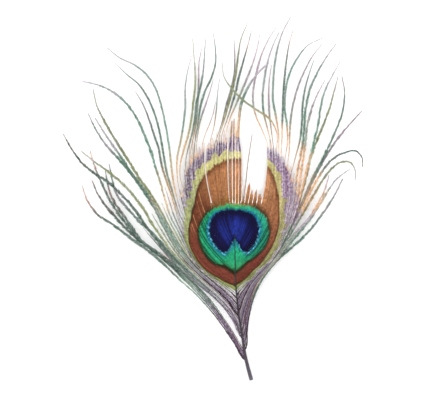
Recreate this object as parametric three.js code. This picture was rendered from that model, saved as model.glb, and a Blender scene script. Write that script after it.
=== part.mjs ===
// A peacock's tail feather, cut short below its eye and laid on a table, bright side up.
// Millimetres. +Y runs from the cut end of the shaft to the tips above the eye, +X is to the
// right and +Z is up. The origin is under the middle of the feather, on the table.
//
// The feather is a shaft (the rachis) with barbs on both sides. Around the eye the barbs lie
// side by side in locks, zipped together by their barbules, and each lock runs out into one
// free barb. Below and beside the eye the barbs are loose and each one is a piece of its own.
import * as THREE from 'three';

// ---------------------------------------------------------------- driving dimensions

const SQUARE = 0.4;          // side of one square of the paper that the routes are drawn on
const GAP = 0.3;             // free space between a barb's root and the shaft
const SLIT = 0.24;           // free space between two neighbouring locks
const THICK = 0.3;           // a barb or lock, from its bright side to its back
const ROOT_HEIGHT = 0.35;    // where a barb leaves the shaft, above the table
const CROWN = 3.2;           // height that the web of the eye rises to
const TABLE = THICK / 2;     // height of the middle of a barb that touches the table

const BARB = { root: 0.36, middle: 0.38, tip: 0.2 };     // width of a loose barb
const TAIL = { start: 0.4, tip: 0.2 };                   // width of a lock's free barb

const STATIONS = 8;          // steps along a lock, from the shaft to where its free barb starts
const SHOULDER = 2;          // length over which a lock narrows to its free barb
const STEP = 7;              // longest step along a loose barb or a free end
const HOOK_STEP = 4;         // the same, along a barb that ends in a hook

// The paper has its own zero, at the notch in the eye where the shaft fades out.
const paper = ([x, y]) => new THREE.Vector2(x * SQUARE, y * SQUARE);

// ---------------------------------------------------------------- the shaft

// Middle line on the paper, half its width and its height in millimetres.
const SHAFT = [
  { at: [16.5, -143.5], half: 0.78, high: 1.5 },
  { at: [13.6, -133], half: 0.72, high: 1.4 },
  { at: [11.1, -122.9], half: 0.64, high: 1.3 },
  { at: [8.9, -111], half: 0.54, high: 1.15 },
  { at: [6.8, -95.8], half: 0.42, high: 1 },
  { at: [4, -80.6], half: 0.33, high: 0.9 },
  { at: [2.4, -65.4], half: 0.28, high: 0.8 },
  { at: [0.8, -47], half: 0.25, high: 0.7 },
  { at: [0.2, -24], half: 0.2, high: 0.6 },
  { at: [0, -8], half: 0.16, high: 0.5 },
  { at: [0, 4.5], half: 0.1, high: 0.4 },
];
const SHAFT_SIDES = 8;
const SHAFT_STEPS = 20;

const shaftLine = new THREE.SplineCurve(SHAFT.map(({ at }) => paper(at)));

/** Half width, height and middle of the shaft at a share of its length, 0 at the cut end. */
function shaftAt(share) {
  const place = share * (SHAFT.length - 1);
  const index = Math.min(Math.floor(place), SHAFT.length - 2);
  const part = place - index;
  const mix = (key) => THREE.MathUtils.lerp(SHAFT[index][key], SHAFT[index + 1][key], part);
  return { middle: shaftLine.getPoint(share), half: mix('half'), high: mix('high') };
}

/** Point beside the shaft, GAP clear of it, at a height on the paper; side is -1 or 1. */
function besideShaft(y, side) {
  let low = 0;
  let high = 1;
  for (let round = 0; round < 30; round += 1) {
    const share = (low + high) / 2;
    if (shaftAt(share).middle.y < y * SQUARE) low = share;
    else high = share;
  }
  const { middle, half } = shaftAt(low);
  return new THREE.Vector2(middle.x + side * (half + GAP), middle.y);
}

/** The shaft: a tapering eight-sided rod with one flat facet on the table all along. */
function shaft() {
  const rod = new THREE.CylinderGeometry(1, 1, 1, SHAFT_SIDES, SHAFT_STEPS);
  const flat = 1 / Math.cos(Math.PI / SHAFT_SIDES);
  rod.rotateY(Math.PI / SHAFT_SIDES);
  const spots = rod.attributes.position;
  for (let i = 0; i < spots.count; i += 1) {
    const share = spots.getY(i) + 0.5;
    const { middle, half, high } = shaftAt(share);
    const along = shaftLine.getTangent(share);
    const across = spots.getX(i) * flat * half;
    const up = (spots.getZ(i) * flat + 1) * high / 2;
    spots.setXYZ(i, middle.x + across * along.y, middle.y - across * along.x, up);
  }
  return rod;
}

// ---------------------------------------------------------------- flat strips

/** A closed flat strip through its rings, each with a left and a right edge point. */
function strip(rings) {
  const steps = rings.length - 1;
  const bar = new THREE.BoxGeometry(1, 1, 1, 1, steps, 1);
  const spots = bar.attributes.position;
  for (let i = 0; i < spots.count; i += 1) {
    const ring = rings[Math.round((spots.getY(i) + 0.5) * steps)];
    const edge = spots.getX(i) < 0 ? ring.left : ring.right;
    spots.setXYZ(i, edge.x, edge.y, ring.height + spots.getZ(i) * THICK);
  }
  return bar;
}

/** Height at a share of a free barb's length: an arch from its start to its tip. */
function archHeight(share, start, { arch, tip = TABLE }) {
  return THREE.MathUtils.lerp(start, tip, share) + arch * 4 * share * (1 - share);
}

/** Height of the web of the eye at a share of its length: it rises from the shaft and levels. */
function webHeight(share) {
  return THREE.MathUtils.lerp(CROWN, ROOT_HEIGHT, (1 - share) ** 2);
}

/** Places along a line, as shares of its length, from one place to its end. */
function places(line, start, step = STEP) {
  const steps = Math.max(4, Math.ceil(line.getLength() * (1 - start) / step));
  return Array.from({ length: steps + 1 }, (_, i) => THREE.MathUtils.lerp(start, 1, i / steps));
}

/** Ring across a line at a share of its length. */
function ringAcross(line, share, width, height) {
  const middle = line.getPointAt(share);
  const along = line.getTangentAt(share);
  const half = width / 2;
  return {
    left: new THREE.Vector2(middle.x - along.y * half, middle.y + along.x * half),
    right: new THREE.Vector2(middle.x + along.y * half, middle.y - along.x * half),
    height,
  };
}

/** Width of a loose barb: narrow at the root, full by a fifth of the way, fine at the tip. */
function barbWidth({ root, middle, tip }) {
  return (share) => (share < 0.2
    ? THREE.MathUtils.lerp(root, middle, share / 0.2)
    : THREE.MathUtils.lerp(middle, tip, (share - 0.2) / 0.8));
}

/** A barb from its root beside the shaft to its tip, as wide and high as it is told. */
function barb({ root, side, start, route, step }, widthAt, heightAt) {
  const foot = start ? paper(start) : besideShaft(root, side);
  const line = new THREE.SplineCurve([foot, ...route.map(paper)]);
  return strip(places(line, 0, step).map((share) => (
    ringAcross(line, share, widthAt(share), heightAt(share)))));
}

/** A loose barb: it arches from the shaft to its tip. */
function looseBarb(spec) {
  return barb(spec, barbWidth(BARB), (share) => archHeight(share, ROOT_HEIGHT, spec));
}

/** A barb or narrow lock that stands in the web of the eye; web is how far up the web it ends. */
function webBarb(spec, widthAt) {
  const { web = 1, rise = 0 } = spec;
  return barb(spec, widthAt, (share) => webHeight(share * web) + rise * share ** 2);
}

/** Width of a short lock in the notch: it swells to its full width and ends in a point. */
function shortLockWidth({ root, full, tip }) {
  const widest = 0.72;
  return (share) => (share < widest
    ? THREE.MathUtils.lerp(root, full, share / widest)
    : THREE.MathUtils.lerp(full, tip, (share - widest) / (1 - widest)));
}

// ---------------------------------------------------------------- the fan of the eye

/** Lines that the barbs of one side of the eye follow, from the shaft out to the web's edge. */
function fan(lines, side) {
  return lines.map(({ root, route }) => (
    new THREE.SplineCurve([besideShaft(root, side), ...route.map(paper)])));
}

/** Point on the fan: across counts the lines, along runs from 0 at the shaft to 1. */
function fanPoint(lines, across, along) {
  const index = Math.min(Math.floor(across), lines.length - 2);
  const near = lines[index].getPointAt(along);
  return near.lerp(lines[index + 1].getPointAt(along), across - index);
}

/** How far along the fan a barb has to go to reach a height on the paper. */
function alongAtHeight(lines, across, y) {
  let along = 0;
  while (along < 1 && fanPoint(lines, across, along).y < y * SQUARE) along += 0.005;
  return Math.min(along, 1);
}

/** A lock between two places across the fan, with the free barb that it runs out into. */
function lock(lines, { from, to, top, free, arch, tip }) {
  const middle = (from + to) / 2;
  const end = top === undefined ? 1 : alongAtHeight(lines, middle, top);
  const line = new THREE.SplineCurve([fanPoint(lines, middle, end), ...free.map(paper)]);
  const lift = { arch, tip };
  const rings = Array.from({ length: STATIONS + 1 }, (_, i) => {
    const left = fanPoint(lines, from, end * i / STATIONS);
    const right = fanPoint(lines, to, end * i / STATIONS);
    const inset = Math.min(SLIT / 2 / left.distanceTo(right), 0.35);
    return {
      left: left.clone().lerp(right, inset),
      right: right.clone().lerp(left, inset),
      height: webHeight(end * i / STATIONS),
    };
  });
  const shoulder = SHOULDER / line.getLength();
  const tail = places(line, shoulder).map((share) => {
    const width = THREE.MathUtils.lerp(TAIL.start, TAIL.tip, share);
    return ringAcross(line, share, width, archHeight(share, webHeight(end), lift));
  });
  return strip([...rings, ...tail]);
}

// ---------------------------------------------------------------- the left of the eye

// From the outer edge of the eye to the middle: where each line leaves the shaft, and its way.
const LEFT_FAN = fan([
  { root: -54.5, route: [[-12, -46.5], [-24, -38], [-36, -27.5], [-45, -14.5], [-50.5, -1],
    [-54, 11], [-57.5, 23], [-60.5, 35], [-62.5, 47]] },
  { root: -45, route: [[-10.6, -38], [-21.4, -29.2], [-31.8, -18.2], [-40, -5.5], [-45.5, 7.5],
    [-49.3, 20], [-52.4, 32], [-55.5, 43], [-58, 54]] },
  { root: -32.5, route: [[-8.5, -25.5], [-18, -15.5], [-27, -4.5], [-33.7, 7.5], [-38.3, 20],
    [-41.8, 33], [-44.8, 47], [-46.5, 61], [-46.3, 76]] },
  { root: -21, route: [[-6.5, -14], [-13, -4.5], [-19.5, 6], [-25, 18], [-29.5, 30],
    [-33.5, 43], [-36.5, 57], [-37.7, 71], [-37, 85]] },
  { root: -15, route: [[-5, -8.5], [-10.5, 1], [-16, 11], [-20.5, 23], [-24, 36],
    [-26.8, 50], [-29, 63], [-30, 76], [-29.5, 88]] },
  { root: -8, route: [[-3, -2], [-6.5, 7], [-9.8, 18], [-12.5, 30], [-14.5, 43],
    [-16, 56], [-17.2, 69], [-17.6, 82], [-17, 95]] },
  { root: -2.5, route: [[-2.3, 5], [-3.2, 13], [-4.3, 24], [-5.6, 36], [-6.8, 49],
    [-7.4, 62], [-7.6, 74], [-7.6, 86], [-7.3, 98]] },
], -1);

const LEFT_LOCKS = [
  { from: 0, to: 0.35, top: 8, arch: 0.8, tip: 1.5, free: [[-56.5, 17], [-60, 29], [-63.5, 42],
    [-67, 52], [-71, 63], [-74, 75], [-76, 87], [-80, 99], [-83, 109], [-86.5, 119],
    [-91, 130.5], [-95.5, 138.5], [-100, 146]] },
  { from: 0.35, to: 0.7, top: 13, arch: 1.6, tip: 2.2, free: [[-55.5, 23], [-59.5, 35], [-63, 47],
    [-67, 59], [-70, 74], [-72, 87], [-74.5, 100], [-77, 112], [-81, 125], [-87, 138.5],
    [-94, 150], [-103, 158.5], [-113, 166.5], [-120, 174.5]] },
  { from: 0.7, to: 1, top: 18, arch: 2.4, free: [[-53.8, 26], [-57.8, 38], [-60.5, 50],
    [-62.7, 62], [-63.8, 74], [-65.5, 88], [-67.5, 101], [-70, 115], [-73, 128], [-77, 143],
    [-83, 155], [-90, 164], [-98, 171], [-108, 175], [-117, 180.5], [-128, 189.5]] },
  { from: 1, to: 1.3, top: 42, arch: 0.6, tip: 2, free: [[-57.3, 53], [-58, 66], [-57.8, 78],
    [-56, 89], [-53.5, 100], [-51.5, 114], [-49.8, 129], [-50, 144], [-49, 157],
    [-46.5, 170], [-43.5, 181]] },
  { from: 1.3, to: 1.6, top: 48, arch: 1.2, tip: 0.4, free: [[-54.4, 56], [-55.2, 66],
    [-54, 76], [-51, 88], [-47.3, 100], [-44.7, 111], [-42.6, 124], [-41.5, 138],
    [-40, 150], [-39.6, 162], [-40.8, 176], [-42.3, 199]] },
  { from: 1.6, to: 2, top: 64, arch: 2.4, tip: 1.4, free: [[-49.7, 72], [-48, 83], [-45, 95],
    [-41.9, 107], [-40, 119], [-38.9, 132], [-36, 144.5], [-33.4, 154], [-31.6, 167],
    [-30.6, 182], [-29.5, 198]] },
  { from: 2, to: 2.35, top: 77, arch: 0.1, tip: 0.6, free: [[-44.2, 88], [-41.3, 101],
    [-39, 114], [-37.9, 127], [-37, 140], [-36.3, 155], [-36.4, 171], [-33.5, 189]] },
  { from: 2.35, to: 2.7, arch: 1.2, tip: 2.6, free: [[-40.6, 92], [-38.3, 105], [-36.3, 118],
    [-33.6, 134.5], [-30.2, 145], [-24.8, 156], [-20.8, 168], [-19, 182], [-22, 205]] },
  { from: 2.7, to: 3, arch: 0.4, tip: 1.6, free: [[-38.3, 94], [-36.7, 106], [-34.5, 117],
    [-31, 127], [-27.6, 139], [-24, 148], [-21.7, 158]] },
  { from: 3, to: 3.92, arch: 0.2, tip: 1, free: [[-31.8, 95], [-28.6, 106], [-23.8, 117],
    [-21.3, 126], [-19.6, 135]] },
  { from: 4.06, to: 4.6, arch: 0.4, tip: 2, free: [[-23.7, 99], [-21.3, 109], [-19.3, 121],
    [-18, 135], [-17.2, 146], [-15.5, 158]] },
  { from: 4.6, to: 4.82, arch: 0.2, tip: 0.4, free: [[-17.2, 101], [-14, 111], [-10.6, 124],
    [-7.6, 136], [-3.7, 148], [-1.2, 159], [-0.1, 173], [-0.4, 186], [-1, 198]] },
  { from: 4.82, to: 5.05, arch: 1, tip: 1.5, free: [[-15.2, 102.5], [-12, 113],
    [-7.9, 127], [-4.7, 141], [-0.9, 153.5], [1.3, 167], [3.2, 182], [6, 198], [12.5, 214]] },
  { from: 5.05, to: 5.5, arch: 0.6, tip: 2.4, free: [[-12, 105.5], [-8.4, 116], [-4, 129.5],
    [-0.2, 142], [3, 156], [7, 171], [11.3, 186], [14.6, 199], [16.5, 206]] },
  { from: 5.5, to: 6, arch: 0.4, tip: 0.8, free: [[-8.4, 106], [-5.2, 118], [-0.9, 128.5],
    [4.4, 139], [8, 150], [13, 161], [17.5, 173], [21.5, 186], [25, 203]] },
];

// ---------------------------------------------------------------- the middle and the notch

const MIDDLE_WIDTH = { root: 0.3, full: 0.86, tip: 0.2 };

// Narrow locks that stand straight up from the end of the shaft.
const MIDDLE_LOCKS = [
  { root: 0.5, side: -1, route: [[-1.9, 9], [-3.2, 22], [-4, 34], [-4.4, 47],
    [-4.6, 60], [-4.7, 73], [-4.7, 86], [-4.2, 100], [-3, 116]] },
  { start: [-0.6, 6.5], route: [[-0.9, 12], [-1.3, 22], [-1.1, 34],
    [-0.9, 47], [-0.8, 60], [-0.8, 73], [-0.9, 86], [-1.1, 99], [-0.8, 118]] },
  { start: [0.7, 6.5], route: [[1.1, 12], [1.6, 22], [1.9, 34], [2.1, 47],
    [2.2, 60], [2.2, 73], [1.9, 86], [1.1, 96], [1.5, 106]] },
];

// The lock at the edge of the notch: its free barb crosses over to the right.
const EDGE_LOCK = { root: 0.5, side: 1, rise: 1.4, route: [[2.4, 9], [3.7, 22],
  [4.7, 34], [5.1, 47], [5.2, 60], [5.2, 73], [4.8, 86], [3.2, 98], [3.6, 112], [5.2, 128],
  [8.5, 140], [14.5, 152], [20.5, 161], [27.5, 168.5], [33.5, 174]] };

// The lone barb and the short worn locks that stand in the notch.
const LONE_BARB = { root: -3, side: 1, route: [[3.5, 5], [5.1, 15], [6.6, 25],
  [8, 35], [9.4, 45], [10.8, 55], [12, 65], [12.9, 75], [14, 84], [16.3, 94], [17.3, 103]] };
const SHORT_LOCKS = [
  { root: -6.5, side: 1, web: 0.5, route: [[4.4, 3], [7.2, 13], [9.6, 24],
    [11.5, 34], [13, 43], [14.9, 55.5]] },
  { root: -10, side: 1, web: 0.5, route: [[5.6, 0], [9.9, 12], [13.2, 24], [15.4, 34],
    [16.8, 42], [18.3, 53]] },
  { root: -13.5, side: 1, web: 0.5, route: [[6.9, -2], [12.5, 10], [16.9, 22],
    [19.4, 33], [20.6, 41], [21.2, 49]] },
  { root: -17, side: 1, web: 0.5, route: [[7.9, -5], [15, 8], [20.6, 20], [23.7, 31],
    [24.7, 40], [24.9, 48]] },
];
const LONE_WIDTH = { root: 0.32, middle: 0.8, tip: 0.2 };
const SHORT_WIDTH = { root: 0.3, full: 1.1, tip: 0.25 };

// ---------------------------------------------------------------- the right of the eye

const RIGHT_FAN = fan([
  { root: -20, route: [[8.9, -8], [16.8, 4.5], [22.8, 17], [26.2, 28], [28.2, 38],
    [29.7, 47.5], [31.1, 57.5], [32, 67.5], [32.2, 78], [31.3, 89]] },
  { root: -32, route: [[9.5, -21.5], [19, -10.8], [27.5, 1], [33.2, 13], [36.8, 25],
    [39, 37], [40.2, 49], [40.6, 61], [40.5, 73], [40, 84.5]] },
  { root: -44, route: [[10.5, -35], [21.6, -25.2], [31.2, -14], [38.3, -2], [43.2, 10.5],
    [46.5, 23], [48.6, 35.5], [49.7, 48], [49.8, 61], [49, 73]] },
  { root: -52.5, route: [[10.8, -44.5], [23, -35], [33.6, -24.3], [41.8, -12.5], [47.8, 0],
    [52.3, 12.5], [55.4, 25], [57.4, 37], [58, 48], [57, 58.5]] },
], 1);

const RIGHT_LOCKS = [
  { from: 0, to: 0.36, arch: 0.4, tip: 1.2, free: [[32.2, 94], [28.6, 103.5], [24.2, 113.5],
    [20.3, 123], [18.1, 134], [18.4, 147.5], [20.6, 160], [24.5, 176], [28.7, 187.5],
    [34.5, 199.5], [42, 211]] },
  { from: 0.36, to: 0.68, arch: 0.2, tip: 0.8, free: [[35.9, 94], [32.8, 107], [29.3, 120.5],
    [27.7, 134], [28, 147], [30.2, 163], [33.4, 178], [38.3, 192.5], [44, 205]] },
  { from: 0.68, to: 0.95, arch: 0.6, tip: 1.6, free: [[38, 95], [36, 109], [34.4, 123],
    [33.8, 137], [34.1, 154], [36.5, 172]] },
  { from: 0.95, to: 1.25, arch: 3.6, tip: 3.4, free: [[42.3, 94], [41.6, 104], [37.3, 114],
    [29.6, 122.6], [20, 127.5], [11.5, 133.6], [3, 141], [-4, 149], [-9.6, 157], [-12.7, 166],
    [-13, 175]] },
  { from: 1.25, to: 1.55, arch: 1, free: [[44, 92], [43.3, 106], [40.6, 122], [38, 137],
    [38.1, 152], [39.3, 169], [42, 186], [46, 200.5], [50.5, 211], [56, 221]] },
  { from: 1.55, to: 1.85, arch: 1.4, tip: 1.6, free: [[46.4, 88], [47, 101], [47.2, 116],
    [48, 132], [48.4, 147], [49.8, 162], [52, 181], [55, 197], [58, 207]] },
  { from: 1.85, to: 2.2, arch: 1.8, tip: 0.8, free: [[50.8, 86], [52.9, 99], [52, 111],
    [49.8, 124], [49.9, 137], [51.2, 151], [54.8, 164], [60.3, 175], [66.6, 185.5],
    [76, 194], [88, 199.5]] },
  { from: 2.2, to: 2.6, arch: 2.4, tip: 2.4, free: [[53.2, 79.5], [54.6, 92], [54.7, 106],
    [56, 121], [59, 137], [63.4, 151.5], [69.5, 166], [77.3, 180.5], [87, 193]] },
  { from: 2.6, to: 3, arch: 1.4, tip: 1, free: [[57.6, 69], [61, 82], [64.7, 96], [66.6, 110],
    [67.1, 125], [68.8, 141.5], [72.3, 157], [79, 177]] },
];

// ---------------------------------------------------------------- loose barbs

const LEFT_LOOSE = [
  { root: -60, arch: 6, route: [[-12, -49], [-24, -40.5], [-36, -30.3], [-44.8, -19], [-50, -8],
    [-56, 4.5], [-62, 15], [-67, 28], [-70.5, 40], [-74, 53], [-79, 69.5], [-83, 82.5],
    [-90, 101], [-98, 118.5], [-109, 134], [-117.5, 142], [-131, 150], [-141, 153],
    [-153, 156]] },
  { root: -66, arch: 5, tip: 2.5, route: [[-12.5, -52.5], [-21.5, -45], [-30.5, -37.3],
    [-39, -29.5], [-51.8, -13.5], [-60, 0.5], [-69.3, 17.5], [-78, 33], [-87, 47],
    [-95.5, 58.5], [-104, 72.5], [-122, 101], [-130.5, 116], [-138, 131], [-142, 148]] },
  { root: -72, arch: 4.2, tip: 1.5, route: [[-10, -58], [-26.5, -43.8], [-42.5, -29],
    [-54.3, -14.5], [-62.5, -1], [-71.5, 15.5], [-80.5, 32.5], [-90, 46.5], [-99, 57.5],
    [-109.3, 73], [-128, 100], [-140, 119]] },
  { root: -78, arch: 3.4, tip: 3, route: [[-7.5, -64], [-22, -50], [-38, -36], [-51, -22.5],
    [-61, -8.5], [-70.3, 8.5], [-79, 26], [-89, 42.5], [-98, 55], [-109, 70], [-121, 83],
    [-132, 96], [-140.5, 110], [-147, 124]] },
  { root: -85, arch: 5.6, tip: 1, route: [[0.5, -79], [-10, -65], [-25, -51], [-40.5, -37.5],
    [-54.5, -24], [-65.5, -11], [-80, 9.5], [-87.5, 21], [-95, 33.5], [-107, 47.5],
    [-121, 61], [-136, 72], [-145, 78.5], [-154, 86]] },
  { root: -92, arch: 3, tip: 2, route: [[-1.5, -79], [-13, -64.5], [-27.5, -51.5], [-43, -38],
    [-58, -24], [-69.5, -10.5], [-80, 1.5], [-91, 11.5], [-103, 23], [-113, 36], [-120, 45],
    [-123, 58], [-126, 73]] },
  { root: -99, arch: 7, tip: 1.5, route: [[0, -87], [-9, -73], [-22, -59], [-38, -45.5],
    [-54, -31], [-67, -17], [-79, -2], [-88.5, 10], [-97, 24], [-110, 39], [-125, 53.5],
    [-140, 63.5], [-151, 72], [-162, 86], [-172, 103]] },
  { root: -113, arch: 3.4, tip: 1.2, route: [[2, -104], [-4, -94], [-12, -82], [-22, -69],
    [-33, -56.5], [-44, -45], [-62, -28], [-85, -9.5], [-94, -3.5], [-100, 5], [-107, 16],
    [-118, 30], [-124, 42], [-128.5, 57], [-130, 68]] },
  { root: -116, arch: 2.2, tip: 1, route: [[-1.8, -100], [-8.2, -90], [-23.1, -70],
    [-41.2, -50], [-61.7, -30], [-72, -20], [-85.8, -10], [-98.5, 0], [-107, 11], [-117, 24],
    [-126, 38], [-132, 51], [-139, 66], [-145, 86]] },
  { root: -119, arch: 3, tip: 0.8, route: [[-3.2, -100], [-9.8, -90], [-25, -70],
    [-43.4, -50], [-63.4, -30], [-73.5, -20], [-87.3, -10], [-101, 1], [-111, 10.5],
    [-123, 23.5], [-132, 35], [-138, 44], [-143.5, 57]] },
  { root: -122, arch: 4.4, route: [[4, -115], [-5, -99.5], [-25, -72.5], [-46, -50.5],
    [-56, -42], [-68, -30], [-81, -18], [-96, -7], [-106, 0], [-115, 8], [-130, 17.5],
    [-140, 25], [-150, 40], [-153.5, 52]] },
];

const RIGHT_LOOSE = [
  { root: -57, arch: 3.4, tip: 1.8, route: [[10, -49], [18, -40], [29.3, -30], [37.6, -20],
    [44, -10], [48.9, 0], [55.6, 20], [59.6, 40], [61, 57], [65.3, 80], [68.6, 101],
    [69.6, 117], [72.2, 139], [78, 155], [85, 169], [94, 184], [101, 193]] },
  { root: -62, arch: 4.4, tip: 2.8, route: [[11.4, -50], [19.1, -40], [30, -30], [38.3, -20],
    [44.7, -10], [49.6, 0], [57, 20], [62, 40], [65.2, 62], [69.3, 86], [71.7, 109],
    [76.2, 127], [82.3, 142.5], [90, 157]] },
  { root: -67, arch: 6.4, tip: 0.6, route: [[12.8, -50], [20.2, -40], [30.8, -30], [39, -20],
    [45.4, -10], [50.3, 0], [58.5, 20], [64.3, 40], [69, 57.5], [74.6, 79], [79.3, 97],
    [83.3, 115], [86.2, 133], [90.5, 148], [99, 164], [105, 175]] },
  { root: -72, arch: 3, tip: 1.4, route: [[14.2, -50], [21.3, -40], [31.5, -30], [39.7, -20],
    [46.1, -10], [51, 0], [59.7, 20], [65.7, 40], [70.5, 57.5], [76, 80], [82, 97],
    [90.3, 117], [95.8, 133], [100.3, 150], [103, 160]] },
  { root: -77, arch: 4.2, tip: 2, route: [[10.6, -60], [15.6, -50], [22.4, -40], [32.3, -30],
    [40.4, -20], [46.8, -10], [51.7, 0], [60.9, 20], [69, 40], [76.2, 56.5], [84.5, 72.5],
    [92, 87], [99, 102.5], [106, 120.5], [109.7, 141], [107, 161]] },
  { root: -82, arch: 5.4, route: [[12.1, -60], [17, -50], [23.5, -40], [33, -30], [41.1, -20],
    [47.5, -10], [52.4, 0], [62.2, 20], [70.4, 40], [77.6, 56], [85.9, 72], [94.3, 86.5],
    [104.8, 101], [117.3, 115.5], [127, 126]] },
  { root: -87, arch: 6.6, tip: 3, step: HOOK_STEP, route: [[10.6, -70], [18.4, -50],
    [24.6, -40], [33.8, -30], [41.8, -20], [48.2, -10], [53.1, 0], [63.6, 20], [72.9, 40],
    [81.5, 57], [92, 72.5], [102, 81], [113, 85.3], [122, 85.5], [127, 79], [127.5, 70]] },
  { root: -92, arch: 3.4, tip: 1, step: HOOK_STEP, route: [[9.5, -80], [15.2, -60],
    [19.8, -50], [25.7, -40], [34.5, -30], [42.5, -20], [48.9, -10], [53.8, 0], [65.5, 20],
    [77, 39], [88, 57.5], [98, 69.5], [108, 75.5], [117, 73.5], [121, 64], [120.5, 57]] },
  { root: -98, arch: 5, tip: 1.6, route: [[8.7, -90], [13.6, -70], [21, -50], [26.8, -40],
    [35.3, -30], [43.3, -20], [50, -10], [57, 0], [65.5, 10], [74.5, 20], [85.8, 38.5],
    [91, 50.5], [94.2, 62]] },
  { root: -104, arch: 2.6, tip: 2.6, route: [[9.9, -97], [12.7, -80], [17.9, -60], [27.9, -40],
    [36, -30], [44.2, -20], [51.3, -11], [60.5, 0], [68.5, 10], [76.3, 19], [82.5, 29],
    [90, 41.5], [100, 56], [107, 62.7], [115, 68]] },
  { root: -111, arch: 4.2, route: [[11.6, -100], [14, -80], [19.2, -60], [29, -40],
    [36.8, -30], [46, -20], [57, -10], [69, 0.5], [81, 14.5], [93, 31], [102, 46],
    [108, 58]] },
];

// ---------------------------------------------------------------- the feather

const finish = {
  shaft: new THREE.MeshStandardMaterial({ color: '#5c5560', roughness: 0.45, metalness: 0 }),
  eye: new THREE.MeshStandardMaterial({ color: '#9a5a38', roughness: 0.4, metalness: 0.2 }),
  loose: new THREE.MeshStandardMaterial({ color: '#4c7a5c', roughness: 0.55, metalness: 0.1 }),
};

const feather = new THREE.Group();

function piece(name, geometry, material) {
  const mesh = new THREE.Mesh(geometry, material);
  mesh.name = name;
  feather.add(mesh);
}

const numbered = (name, index) => `${name}_${String(index + 1).padStart(2, '0')}`;

piece('shaft', shaft(), finish.shaft);
LEFT_LOCKS.forEach((spec, i) => piece(numbered('eye_left', i), lock(LEFT_FAN, spec), finish.eye));
[...MIDDLE_LOCKS, EDGE_LOCK].forEach((spec, i) => (
  piece(numbered('eye_middle', i), webBarb(spec, shortLockWidth(MIDDLE_WIDTH)), finish.eye)));
piece('notch_lone_barb', webBarb(LONE_BARB, barbWidth(LONE_WIDTH)), finish.eye);
SHORT_LOCKS.forEach((spec, i) => (
  piece(numbered('notch_short', i), webBarb(spec, shortLockWidth(SHORT_WIDTH)), finish.eye)));
RIGHT_LOCKS.forEach((spec, i) => (
  piece(numbered('eye_right', i), lock(RIGHT_FAN, spec), finish.eye)));
LEFT_LOOSE.forEach((spec, i) => (
  piece(numbered('loose_left', i), looseBarb({ side: -1, ...spec }), finish.loose)));
RIGHT_LOOSE.forEach((spec, i) => (
  piece(numbered('loose_right', i), looseBarb({ side: 1, ...spec }), finish.loose)));

// The routes are drawn from the notch, so the feather is moved to stand over its origin.
const extent = new THREE.Box3().setFromObject(feather);
feather.position.set(-(extent.min.x + extent.max.x) / 2, -(extent.min.y + extent.max.y) / 2, 0);

const part = new THREE.Group();
part.add(feather);
export default part;
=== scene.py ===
# %% [markdown]
# # A peacock's eye feather, built barb by barb
# A tail feather is a horny shaft with hundreds of barbs, and every barb is a thin stem with two
# fringes of barbules. Around the eye the barbules hook the barbs together into one shimmering
# web, and further out each barb hangs free and looks like a thread with fluff on it.
#
# It could be made as a flat card with a painted pattern, but then it would have no loose ends and
# no depth. Here it is made as it grows: the solids of the CAD model give the place of every barb,
# one stem and one barbule are modelled once, and thousands of copies follow those lines.

# %% The frame that everything is built in
import math

import bpy
import numpy as np
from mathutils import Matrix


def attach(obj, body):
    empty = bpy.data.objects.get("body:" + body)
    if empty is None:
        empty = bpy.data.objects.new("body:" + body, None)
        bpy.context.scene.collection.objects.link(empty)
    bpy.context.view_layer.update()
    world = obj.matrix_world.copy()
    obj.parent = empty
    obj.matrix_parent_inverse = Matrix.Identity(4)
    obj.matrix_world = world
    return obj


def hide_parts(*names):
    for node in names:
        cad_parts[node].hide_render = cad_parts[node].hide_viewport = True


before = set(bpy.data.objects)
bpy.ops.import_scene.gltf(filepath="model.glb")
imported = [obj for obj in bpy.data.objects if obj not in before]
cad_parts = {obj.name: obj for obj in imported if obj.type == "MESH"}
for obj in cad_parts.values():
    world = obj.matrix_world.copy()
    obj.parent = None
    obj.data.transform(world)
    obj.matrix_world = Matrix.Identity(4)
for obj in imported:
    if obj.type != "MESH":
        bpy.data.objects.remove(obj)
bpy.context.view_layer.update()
MM = 0.001
SQUARE = 0.4 * MM          # side of one square of the paper that the feather is drawn on
random = np.random.default_rng(7)
print("CAD nodes:", len(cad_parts))

# %% [markdown]
# ## Reading the solids
# Every barb and every lock of barbs is a flat strip in the CAD model: a chain of rings with two
# corners on the left and two on the right. Its route could be typed in again here, but reading it
# from the solid keeps the two models together. The two sides of one ring stand at one height,
# which no neighbouring ring shares, and that tells which corners belong together.


# %% Corners of a solid
def corners(node_name):
    """All vertices of a CAD node, one row each."""
    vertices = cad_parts[node_name].data.vertices
    rows = np.empty(len(vertices) * 3)
    vertices.foreach_get("co", rows)
    return rows.reshape(-1, 3)


def columns_at(places, known, rows):
    """Rows between the known rows, at other places."""
    return np.array([np.interp(places, known, column) for column in rows.T]).T


# %% The middle line of the shaft
SHAFT_SIDES = 8
TOP_ON_PAPER = np.array([0, 4.5])      # squares from the notch to the shaft's upper end


def shaft_rings():
    """Middle, half width and height of every ring of the shaft, from the cut end up."""
    spots = np.unique(np.round(corners("shaft"), 6), axis=0)
    low = spots[spots[:, 2] < 0.001 * MM]
    low = low[np.argsort(low[:, 1])].reshape(-1, 2, 3)
    middle = low.mean(axis=1)
    facet = np.linalg.norm(low[:, 0] - low[:, 1], axis=1)
    half = facet / 2 / math.tan(math.pi / SHAFT_SIDES)
    nearest = np.linalg.norm(spots[:, None, :2] - middle[None, :, :2], axis=2).argmin(axis=1)
    high = np.array([spots[nearest == ring, 2].max() for ring in range(len(middle))])
    return middle, half, high


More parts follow.
